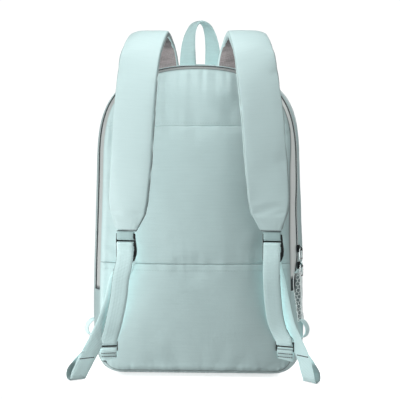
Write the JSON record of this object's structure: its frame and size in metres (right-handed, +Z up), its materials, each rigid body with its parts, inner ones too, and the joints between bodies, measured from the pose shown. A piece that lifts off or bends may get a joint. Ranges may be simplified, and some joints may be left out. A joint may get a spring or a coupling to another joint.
{
  "type": "backpack",
  "caption": "Soft upright backpack with padded shoulder straps, a zip round its back panel, webbing adjusters, a top handle and a net side pocket.",
  "frame": {"origin": "middle of the flat of the base, on the floor", "axes": "+Z up, -Y towards the wearer's back (the harness side), +X to the right when looking at the harness side"},
  "size_m": [0.3726, 0.2191, 0.5269],
  "materials": {
    "cloth": "fine plain weave nylon, soft sheen",
    "webbing": "ribbed woven webbing",
    "lining": "knitted spacer mesh",
    "zip_tape": "woven zip tape",
    "zip_coil": "nylon coil",
    "net": "open knitted net",
    "plastic": "moulded, fine grain",
    "dark_metal": "black lacquered die casting",
    "pale_metal": "bright nickel"
  },
  "bodies": {
    "pack": {"back_panel_upper": "cloth", "back_panel_middle": "cloth", "back_panel_lower": "cloth", "front_panel": "cloth", "gusset": "cloth", "zip_tape_back": "zip_tape", "zip_coil": "zip_coil", "zip_tape_front": "zip_tape", "zip_slider_upper": "dark_metal", "zip_slider_lower": "dark_metal", "side_pocket": "net", "side_pocket_hem": "cloth", "grab_handle": "webbing", "side_loop_left": "webbing", "shoulder_strap_left": "cloth", "strap_lining_left": "lining", "strap_end_loop_left": "webbing", "ladder_lock_left": "plastic", "adjuster_webbing_left": "webbing", "anchor_ring_left": "plastic", "anchor_tab_left": "webbing", "side_loop_right": "webbing", "shoulder_strap_right": "cloth", "strap_lining_right": "lining", "strap_end_loop_right": "webbing", "ladder_lock_right": "plastic", "adjuster_webbing_right": "webbing", "anchor_ring_right": "plastic", "anchor_tab_right": "webbing"},
    "puller_upper": {"zip_puller_upper": "pale_metal"},
    "puller_lower": {"zip_puller_lower": "pale_metal"}
  },
  "joints": [
    {"name": "puller_upper_swing", "type": "hinge", "parent": "pack", "child": "puller_upper", "pos_m": [0.15435, -0.06643, 0.191], "axis": [-0.5692, -0.8222, 0], "range_deg": [0, 150]},
    {"name": "puller_lower_swing", "type": "hinge", "parent": "pack", "child": "puller_lower", "pos_m": [0.1552, -0.06643, 0.166], "axis": [-0.5692, -0.8222, 0], "range_deg": [0, 150]}
  ]
}
